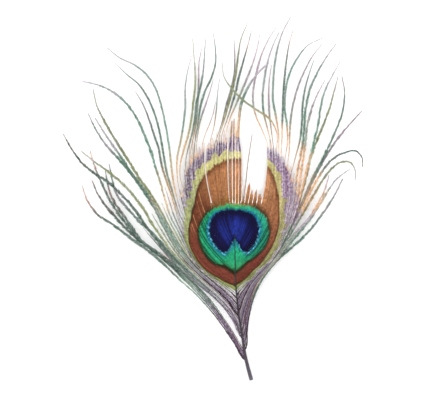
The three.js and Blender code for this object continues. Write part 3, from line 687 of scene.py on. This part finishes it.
def barbule_finish(name, metallic, gleam):
    """Keratin barbules grown in layers: satin, dark between, gleaming in the colour itself."""
    made, tree, shader = new_material(name)
    value = {key: node(tree, "ShaderNodeAttribute", {"attribute_name": key}, output="Fac")
             for key in MARKS}
    place = node(tree, "ShaderNodeTexCoord", output="Object")
    for key, size in (("blotch", BLOTCH), ("mottle", MOTTLE), ("drift", DRIFT)):
        noise = node(tree, "ShaderNodeTexNoise", {"Scale": 1 / size, "Detail": 1.5},
                     {"Vector": place}, output="Fac")
        value[key] = node(tree, "ShaderNodeMapRange", {"From Min": 0.3, "From Max": 0.7},
                          {"Value": noise})

    # The outer rings have blotchy edges.
    unrest = node(tree, "ShaderNodeMapRange", {"From Min": 3.1, "From Max": 3.9, "To Max": 0.7},
                  {"Value": value["zone"]})
    centred = node(tree, "ShaderNodeMath", {"operation": "SUBTRACT", 1: 0.5}, {0: value["blotch"]})
    value["zone"] = node(tree, "ShaderNodeMath", {"operation": "MULTIPLY_ADD"},
                         {0: unrest, 1: centred, 2: value["zone"]})
    value["mottle_and_shade"] = node(tree, "ShaderNodeMath", {"operation": "ADD"},
                                     {0: value["mottle"], 1: value["shade"]})
    mask = {key: node(tree, "ShaderNodeMapRange", dict(zip(ENDS, ends)), {"Value": value[source]})
            for key, (source, *ends) in MASKS.items()}
    for key, (source, middle, distance) in BANDS.items():
        mask[key] = node(tree, "ShaderNodeMath", {"operation": "COMPARE", 1: middle, 2: distance},
                         {0: value[source]})
    mask["rim"] = node(tree, "ShaderNodeValToRGB", {"stops": RIM}, {"Fac": mask["to_rim"]})

    # Below the heart the purple gives way to loose barbs sooner.
    let_go = node(tree, "ShaderNodeMath", {"operation": "ADD"}, {0: value["zone"], 1: mask["low"]})
    mask["free"] = node(tree, "ShaderNodeMapRange", {"From Min": 4.9, "From Max": 5.3},
                        {"Value": let_go})

    # The blue: royal blue streaks at the heart that fan out into violet navy.
    streak = node(tree, "ShaderNodeMath", {"operation": "MULTIPLY", "use_clamp": True},
                  {0: mask["heart"], 1: value["shade"]})
    colour = node(tree, "ShaderNodeMix", {"data_type": "RGBA", UNDER: linear(VIOLET_NAVY),
                                          OVER: linear(ROYAL_BLUE)},
                  {FACTOR: streak}, MIXED)

    # The other rings, from the inside out.
    for (start, end), *sides in RINGS:
        left, right = (node(tree, "ShaderNodeValToRGB", {"stops": list(zip(HEIGHTS, side))},
                            {"Fac": value["above"]}) for side in sides)
        ring = node(tree, "ShaderNodeMix", {"data_type": "RGBA"},
                    {FACTOR: mask["on_right"], UNDER: left, OVER: right}, MIXED)
        edge = node(tree, "ShaderNodeMapRange", {"From Min": start, "From Max": end},
                    {"Value": value["zone"]})
        colour = node(tree, "ShaderNodeMix", {"data_type": "RGBA"},
                      {FACTOR: edge, UNDER: colour, OVER: ring}, MIXED)
    colour = marked(tree, colour, RING_MARKS, mask)

    # Loose barbs, whose colour drifts along the barb.
    along = node(tree, "ShaderNodeMath", {"operation": "ADD"},
                 {0: value["along"], 1: mask["drifting"]})
    loose = node(tree, "ShaderNodeValToRGB", {"stops": LOOKS[0]}, {"Fac": along})
    for number, stops in enumerate(LOOKS[1:], start=1):
        ramp = node(tree, "ShaderNodeValToRGB", {"stops": stops}, {"Fac": along})
        pick = node(tree, "ShaderNodeMath", {"operation": "COMPARE", 1: number, 2: 0.4},
                    {0: value["look"]})
        loose = node(tree, "ShaderNodeMix", {"data_type": "RGBA"},
                     {FACTOR: pick, UNDER: loose, OVER: ramp}, MIXED)
    loose = marked(tree, loose, LOOSE_MARKS, mask)

    # At the foot each strand has a colour of its own.
    foot = node(tree, "ShaderNodeValToRGB", {"stops": FOOT}, {"Fac": value["strand"]})
    loose = node(tree, "ShaderNodeMix", {"data_type": "RGBA"},
                 {FACTOR: mask["near_foot"], UNDER: loose, OVER: foot}, MIXED)
    colour = node(tree, "ShaderNodeMix", {"data_type": "RGBA"},
                  {FACTOR: mask["free"], UNDER: colour, OVER: loose}, MIXED)

    for key, (least, most) in TONES.items():
        tone = node(tree, "ShaderNodeMapRange", {"To Min": least, "To Max": most},
                    {"Value": value[key]})
        colour = node(tree, "ShaderNodeVectorMath", {"operation": "SCALE"},
                      {0: colour, "Scale": tone})
    colour = marked(tree, colour, STEM_MARKS, mask)
    tree.links.new(colour, shader.inputs["Base Color"])

    rough = node(tree, "ShaderNodeMapRange", {"To Min": gleam, "To Max": gleam + 0.2},
                 {"Value": value["mottle"]})
    tree.links.new(rough, shader.inputs["Roughness"])
    bump = node(tree, "ShaderNodeBump", {"Strength": 0.2, "Distance": 0.05 * MM},
                {"Height": value["mottle"]})
    tree.links.new(bump, shader.inputs["Normal"])
    shader.inputs["Metallic"].default_value = metallic
    shader.inputs["IOR"].default_value = KERATIN_IOR
    shader.inputs["Specular IOR Level"].default_value = 0.1
    return made


EYE_FINISH = barbule_finish("iridescent_barbules", metallic=0.35, gleam=0.36)
LOOSE_FINISH = barbule_finish("loose_barbules", metallic=0.1, gleam=0.5)

# %% [markdown]
# ## The eye
# In a real eye some two hundred barbs lie side by side, and their fringes overlap so that no
# light comes through. Each lock of the CAD model is filled here with a few barbs. One of them
# runs on into the lock's free end. The others stop just above the lock, each at a length of its
# own, which makes the upper edge of the eye ragged.

# %% Sizes of the eye's barbs
EYE_PITCH = 0.75 * MM      # distance between two barbs where the eye is widest
EYE_STEM = 0.1 * MM        # half width of a stem
STEM_TIP = 0.06 * MM       # half width of a stem at its tip
LOCK_ENDS = 0.55 * MM      # where a lock gets narrower than this, its free end begins
FREE_REACH = 0.54 * MM     # how far barbules stand out from a free end at their longest
FREE_GROWS = [0, 6 * MM, 18 * MM]          # distances beyond the lock
FREE_SHARE = [0.2, 0.35, 1]                # share of its reach that the fringe has there
TAPER = {"fringe": 18 * MM, "stem": 15 * MM, "narrow stem": 10 * MM}     # lengths to the tip
SHORT_TAILS = [0.8, 1.4, 2.0, 3.5, 9.0]    # mm that the other barbs stand out of the lock, about
SHORT_REACH = 0.14 * MM                    # how far the barbules of those stand out there
CHANGE = 2 * MM                            # length over which the web turns into a free end
SHORT_CHANGE = 1.6 * MM                    # and into a short one
EYE_FRINGE = {"pitch": 0.16 * MM, "blade": 0.17 * MM, "lean": 0.68, "lift": 0.05, "droop": 0.03,
              "ragged": 0.2}
SLIT_COVER = 0.16 * MM     # how much further barbules reach below, to close the CAD locks' slits
SLITS_BEGIN = 31           # squares above the notch
SLITS_OPEN = 38
REACH_BELOW = 0.45 * MM    # how far the barbules of a narrow lock reach below its slits
RINGLESS = 7.1             # a zone beyond all rings, where the bronze ends
CLOSED = 3.1               # zone up to which no light comes through the web
COVERED = 3.2              # zone up to which the slits of the CAD locks are closed
OPENED = 4.1               # zone from which the place on the ring has its full say in the slits


def web_fill(barb):
    """How much of its room a fringe fills: it overlaps inside and leaves slits in the purple."""
    outer = np.interp(barb.above, [0, 0.4, 0.7, 0.85], [0.9, 0.75, 0.8, 1.1]) - 0.12 * barb.right
    return np.interp(barb.zone, [CLOSED, 4.0, 5.2], [1.6, 1.1, 0.9]) * np.where(
        barb.zone > CLOSED, outer + (1 - outer) * np.clip(OPENED - barb.zone, 0, 1), 1)


# %% Barbs of a lock
def lock_barbs(bundle, node_name, look):
    """Fills one lock with barbs."""
    left, right, _ = STRIPS[node_name]
    width = np.linalg.norm(left - right, axis=1)
    last = max(i for i in range(len(width)) if width[i] > LOCK_ENDS)
    width = width[:last + 1]
    barb_count = max(2, round(width.max() / EYE_PITCH))
    for number in range(barb_count):
        web = strip_line(node_name, (number + 0.5) / barb_count)[:last + 1]
        tail = strip_line(node_name)[last + 1:]
        runs_on = number == barb_count // 2
        if not runs_on:
            way = (web[-1] - web[-2]) / np.linalg.norm(web[-1] - web[-2])
            tail = [web[-1] + way * random.choice(SHORT_TAILS) * random.uniform(0.7, 1.3) * MM]
        web_length = np.linalg.norm(np.diff(web, axis=0), axis=1).sum()
        barb = Barb(rooted(np.vstack([web, tail])))
        share = np.clip(barb.run / web_length, 0, 1)
        room = np.interp(share, np.linspace(0, 1, len(width)), width) / barb_count
        to_tip = barb.length - barb.run
        cover = np.interp(barb.high, [SLITS_BEGIN, SLITS_OPEN], [SLIT_COVER, 0])
        in_web = room / 2 * web_fill(barb) + cover * (barb.zone < COVERED)
        beyond = barb.run - web_length
        free = (np.interp(beyond, FREE_GROWS, FREE_SHARE) * FREE_REACH
                * np.interp(to_tip, [0, TAPER["fringe"]], [0.25, 1])) if runs_on else SHORT_REACH
        past = np.clip(beyond / (CHANGE if runs_on else SHORT_CHANGE), 0, 1)
        reach = in_web * (1 - past) + free * past
        half = np.interp(to_tip, [0, TAPER["stem"]], [STEM_TIP, EYE_STEM])
        lay_barb(bundle, barb, half, {**EYE_FRINGE, "reach": reach}, look)


# %% Narrow barbs, and short ones between two lines
RINGS_FADE = 4             # squares over which the rings give way
TOP_UNREST = 4             # squares by which the end of a short barb is off its height at most
TIP_REACH = 0.1 * MM       # how far barbules stand out at the tip
TIP_GROWS = 0.2            # how much further they may stand out for each length below the tip


def narrow_barb(bundle, points, reach_above, look=TAN, ring_end=None):
    """A barb that reaches far below the slits and less above; no rings lie above ring_end."""
    barb = Barb(rooted(points))
    to_tip = barb.length - barb.run
    reach = np.interp(barb.high, [SLITS_BEGIN, SLITS_OPEN], [REACH_BELOW, reach_above])
    reach = np.minimum(reach, TIP_REACH + TIP_GROWS * to_tip)
    half = np.interp(to_tip, [0, TAPER["narrow stem"]], [STEM_TIP, EYE_STEM])
    least_zone = 0
    if ring_end is not None:
        least_zone = np.interp(barb.high, [ring_end, ring_end + RINGS_FADE], [0, RINGLESS])
    lay_barb(bundle, barb, half, {**EYE_FRINGE, "reach": reach}, look, least_zone)


def shortened(points, less):
    """The points of a line that ends sooner by a length."""
    line = Barb(points)
    return line.at(line.points, np.linspace(0, line.length - less, len(points)))


def fill_between(bundle, names, count, top, reach_above=0.2 * MM, look=TAN, ring_end=None):
    """Barbs between neighbouring lines, up to about a height on the paper."""
    lines = [Barb(strip_line(name)) for name in names]
    for first, second in zip(lines, lines[1:]):
        for number in range(count):
            length = np.interp(top + random.uniform(-TOP_UNREST, TOP_UNREST), first.high, first.run)
            points = line_between(first, second, (number + 1) / (count + 1), length)
            narrow_barb(bundle, points, reach_above, look, ring_end)


def pale_rays(bundle, names, top):
    """Bare pale stems that show white in the slits between neighbouring lines."""
    fill_between(bundle, names, 1, top, reach_above=0.1 * MM, look=PALE, ring_end=SLITS_BEGIN)


# %% The left and the right of the eye
TAIL_LOOKS = {"eye_left": [DARK, GREEN, GREEN, GREEN, OLIVE, GREEN, TAN, GREEN, TAN, TAN, GREEN,
                           TAN, OLIVE, DARK, TAN],
              "eye_right": [TAN, GREEN, TAN, OLIVE, GREEN, DARK, GREEN, TAN, GREEN]}
SPLIT = ["eye_left_10", "eye_left_11"]       # the locks on either side of the widest split
SPLIT_BEGINS = 36                            # squares above the notch
RAYS_END = 96                                # squares above the notch
for part, looks in TAIL_LOOKS.items():
    bundle = Bundle(part + "_barbs", strand_size=2)
    for name, look in zip(named(part), looks):
        lock_barbs(bundle, name, look)
    if SPLIT[0] in named(part):
        fill_between(bundle, SPLIT, 2, SPLIT_BEGINS)
        pale_rays(bundle, SPLIT, RAYS_END)
    build(bundle, EYE_FINISH, named(part))

# %% [markdown]
# ## The middle and the notch
# Straight above the shaft's end the barbs are split into narrow locks, and on the right a bite is
# worn out of the eye: only short stubs and one lone barb stand there. Below, all of them are
# still one web. So each lock gets its own barbs, and short ones are added between the locks,
# which end where the slits begin.

# %% The middle
NARROW_REACH = 0.33 * MM     # how far barbules stand out above the slits
bundle = Bundle("eye_middle_barbs")
for name, look in zip(named("eye_middle"), [GREEN, TAN, TAN, GREEN]):
    for across in (0.15, 0.85):
        narrow_barb(bundle, strip_line(name, across), NARROW_REACH, look)
fill_between(bundle, ["eye_left_15"] + named("eye_middle"), 1, SLITS_BEGIN)
pale_rays(bundle, ["eye_left_15"] + named("eye_middle"), RAYS_END)
build(bundle, EYE_FINISH, named("eye_middle"))

# %% The notch
WORN = 5.0 * MM              # how much of a short lock's tip may be worn off
STUBS_END = 42               # squares above the notch
STUB_RAYS_END = 50           # squares above the notch
LONE_RINGS_END = 40          # squares above the notch
LONE_REACH = 0.28 * MM       # how far the lone barb's barbules stand out there
bundle = Bundle("notch_barbs")
for name in named("notch_short"):
    for across in (0.05, 0.35, 0.65, 0.95):
        points = shortened(strip_line(name, across), random.uniform(0, WORN))
        narrow_barb(bundle, points, NARROW_REACH)
narrow_barb(bundle, strip_line("notch_lone_barb"), LONE_REACH, TAN, LONE_RINGS_END)
round_the_notch = ["eye_middle_04", "notch_lone_barb"] + named("notch_short") + ["eye_right_01"]
fill_between(bundle, round_the_notch, 2, STUBS_END)
pale_rays(bundle, round_the_notch, STUB_RAYS_END)
build(bundle, EYE_FINISH, named("notch"))

# %% [markdown]
# ## The loose barbs
# Further out nothing holds the barbs together. Their barbules stand off on both sides, longest
# beyond the middle and short at the tip, so each barb is a soft thread with a dark core. A thin
# tube would be simpler, but only a fringe looks soft. The CAD model has the long ones. Beside the
# shaft there are more, which are laid between them.

# %% Sizes of the loose barbs
LOOSE_FRINGE = {"pitch": 0.17 * MM, "blade": 0.17 * MM, "lean": 0.6, "lift": 0.03, "droop": 0.1,
                "ragged": 0.55}
LOOSE_REACH = {"loose_left": 0.92 * MM, "loose_right": 0.8 * MM}
LOOSE_STEM = 0.1 * MM
COMPANION_REACH = 0.45       # of a long barb's reach, for one laid beside it
COMPANION_LENGTH = (0.45, 0.7)     # its least and its greatest length, of the shorter neighbour's
LOOSE_LOOKS = {"loose_left": [GREEN, OLIVE, GREEN, GREEN, OLIVE, GREEN] + [DARK] * 5,
               "loose_right": [GREEN, TAN, GREEN, OLIVE, GREEN, TAN, DARK, OLIVE, TAN, GREEN,
                               GREEN]}


def loose_barb(bundle, points, reach, look):
    """A loose barb along points: reach is how far its fringes stand out at their longest."""
    barb = Barb(rooted(points))
    share = barb.run / barb.length
    fringe = reach * np.interp(share, [0, 0.36, 0.6, 0.85, 1], [0.45, 0.4, 1, 0.85, 0.3])
    half = np.interp(share, [0, 0.3, 1], [1.4, 1, 0.6]) * LOOSE_STEM
    lay_barb(bundle, barb, half, {**LOOSE_FRINGE, "reach": fringe}, look)


# %% Both sides
BESIDE = {"loose_left": "eye_left_01", "loose_right": "eye_right_09"}
WEDGE = "loose_left_08"                  # the wedge above this one is open near the shaft
WEDGE_SHARES = ((0.93, 0.75), (0.85, 0.5), (0.08, 0.25))     # near the shaft and further out
for part, first_lock in BESIDE.items():
    bundle = Bundle(part + "_barbs")
    first = Barb(strip_line(first_lock))
    for name, look in zip(named(part), LOOSE_LOOKS[part]):
        loose_barb(bundle, strip_line(name), LOOSE_REACH[part], look)
        second = Barb(strip_line(name))
        shares = [] if part == "loose_left" and name > WEDGE else [0.5]
        if name == WEDGE:
            way = np.linspace(0, 1, LINE_POINTS)
            shares = [np.interp(way, [0, 0.3, 0.55], [near, near, far])[:, None]
                      for near, far in WEDGE_SHARES]
        for share in shares:
            length = min(first.length, second.length) * random.uniform(*COMPANION_LENGTH)
            points = line_between(first, second, share, length)
            companion_look = random.choice([look, look, TAN])
            loose_barb(bundle, points, LOOSE_REACH[part] * COMPANION_REACH, companion_look)
        first = second
    build(bundle, LOOSE_FINISH, named(part))

# %% [markdown]
# ## The shaft
# The shaft is one smooth tapering rod of keratin. It is grey and bare at the cut end and dark
# under the eye. The CAD solid has eight flat sides, so a rounder rod is laid along its rings.


# %% The shaft's rod
def shaft_piece():
    """The rod template laid along the shaft's rings."""
    shape, faces = SHAFT_ROD
    numbers = np.arange(len(SHAFT_MIDDLE))
    ring = shape[:, 1] * numbers[-1]
    way = np.gradient(SHAFT_MIDDLE, axis=0)
    way = columns_at(ring, numbers, way / np.linalg.norm(way, axis=1)[:, None])
    half = np.interp(ring, numbers, SHAFT_HALF)[:, None]
    high = np.interp(ring, numbers, SHAFT_HIGH)
    rows = columns_at(ring, numbers, SHAFT_MIDDLE) - np.cross((0, 0, 1), way) * shape[:, :1] * half
    rows[:, 2] += (shape[:, 2] + 1) * high / 2
    return new_object("shaft_rod", new_mesh("shaft_rod", rows, faces, {"along": shape[:, 1]}))


# %% The shaft's finish
GRAIN = 0.25 * MM          # width of the fibres in the horn


def shaft_finish():
    """Keratin, grown in fibres along the shaft: horny, satin and faintly streaked."""
    made, tree, shader = new_material("keratin_shaft")
    along = node(tree, "ShaderNodeAttribute", {"attribute_name": "along"}, output="Fac")
    body = node(tree, "ShaderNodeValToRGB", {"stops": [
        (0.0, "#5e5864"), (0.05, "#4a4450"), (0.22, "#3a303c"), (0.6, "#30242c"),
        (0.7, "#16302a"), (1.0, "#123a34")]}, {"Fac": along})
    place = node(tree, "ShaderNodeTexCoord", output="Object")
    drawn_out = node(tree, "ShaderNodeMapping", {"Scale": (1.0, 0.12, 1.0)}, {"Vector": place})
    grain = node(tree, "ShaderNodeTexNoise", {"Scale": 1 / GRAIN, "Detail": 3.0},
                 {"Vector": drawn_out}, output="Fac")
    tone = node(tree, "ShaderNodeMapRange", {"From Min": 0.3, "From Max": 0.7, "To Min": 0.7,
                                             "To Max": 1.15}, {"Value": grain})
    colour = node(tree, "ShaderNodeVectorMath", {"operation": "SCALE"}, {0: body, "Scale": tone})
    tree.links.new(colour, shader.inputs["Base Color"])
    rough = node(tree, "ShaderNodeMapRange", {"To Min": 0.3, "To Max": 0.5}, {"Value": grain})
    tree.links.new(rough, shader.inputs["Roughness"])
    bump = node(tree, "ShaderNodeBump", {"Strength": 0.3, "Distance": 0.1 * MM}, {"Height": grain})
    tree.links.new(bump, shader.inputs["Normal"])
    shader.inputs["IOR"].default_value = KERATIN_IOR
    shader.inputs["Specular IOR Level"].default_value = 0.3
    return made


rod = shaft_piece()
rod.data.materials.append(shaft_finish())
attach(rod, "root")
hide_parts("shaft")
print("shaft rod:", len(rod.data.polygons), "triangles")

# %% [markdown]
# ## The table, the light and the camera
# The feather lies on a white table in a bright, even room, so that it hardly throws a shadow. The
# camera looks straight down through a long lens, so that the high middle isn't seen from the side.


# %% The table and its finish
def table():
    """A white table top of matt melamine board: even, with no gloss."""
    bpy.ops.object.select_all(action="DESELECT")
    bpy.ops.mesh.primitive_plane_add(size=6, location=(0, 0, -0.05 * MM))
    top = bpy.context.active_object
    top.name = "table_top"
    made, _, shader = new_material("matt_melamine")
    shader.inputs["Base Color"].default_value = linear("#f7f7f7")
    shader.inputs["Roughness"].default_value = 0.9
    shader.inputs["Specular IOR Level"].default_value = 0.0
    top.data.materials.append(made)


table()


# %% The light
def soft_light(name, place, size, power):
    """A square lamp that looks at the middle of the feather."""
    data = bpy.data.lights.new(name, "AREA")
    data.shape = "SQUARE"
    data.size = size
    data.energy = power
    lamp = new_object(name, data)
    lamp.location = place
    across = math.hypot(place[0], place[1])
    lamp.rotation_euler = (math.atan2(across, place[2]), 0,
                           math.atan2(-place[1], -place[0]) - math.pi / 2)


ROOM_LIGHT = 1.35
soft_light("key_light", (-1.1, 1.1, 2.2), 2.6, 14)
soft_light("fill_light", (1.3, -0.9, 2.0), 2.6, 7)
world = bpy.data.worlds.new("bright_room")
bpy.context.scene.world = world
world.use_nodes = True
world.node_tree.nodes["Background"].inputs["Color"].default_value = (1, 1, 1, 1)
world.node_tree.nodes["Background"].inputs["Strength"].default_value = ROOM_LIGHT
bpy.context.scene.view_settings.view_transform = "Standard"

# %% The camera
VIEW_WIDTH = 440           # squares of the paper across the view, which is 401 high
VIEW_MIDDLE = (-15, 36.5)
FACE_HEIGHT = 3 * MM       # height of the eye's rim, where the view is as wide as that
LENS = 200                 # mm, on a sensor 36 mm wide
SENSOR = 36
camera_data = bpy.data.cameras.new("camera")
camera_data.lens = LENS
camera_data.sensor_width = SENSOR
camera = new_object("camera", camera_data)
middle = NOTCH + np.array(VIEW_MIDDLE) * SQUARE
camera.location = (middle[0], middle[1], VIEW_WIDTH * SQUARE * LENS / SENSOR + FACE_HEIGHT)
bpy.context.scene.camera = camera
print("camera at", [round(v, 4) for v in camera.location])

# %% The end
bpy.context.view_layer.update()
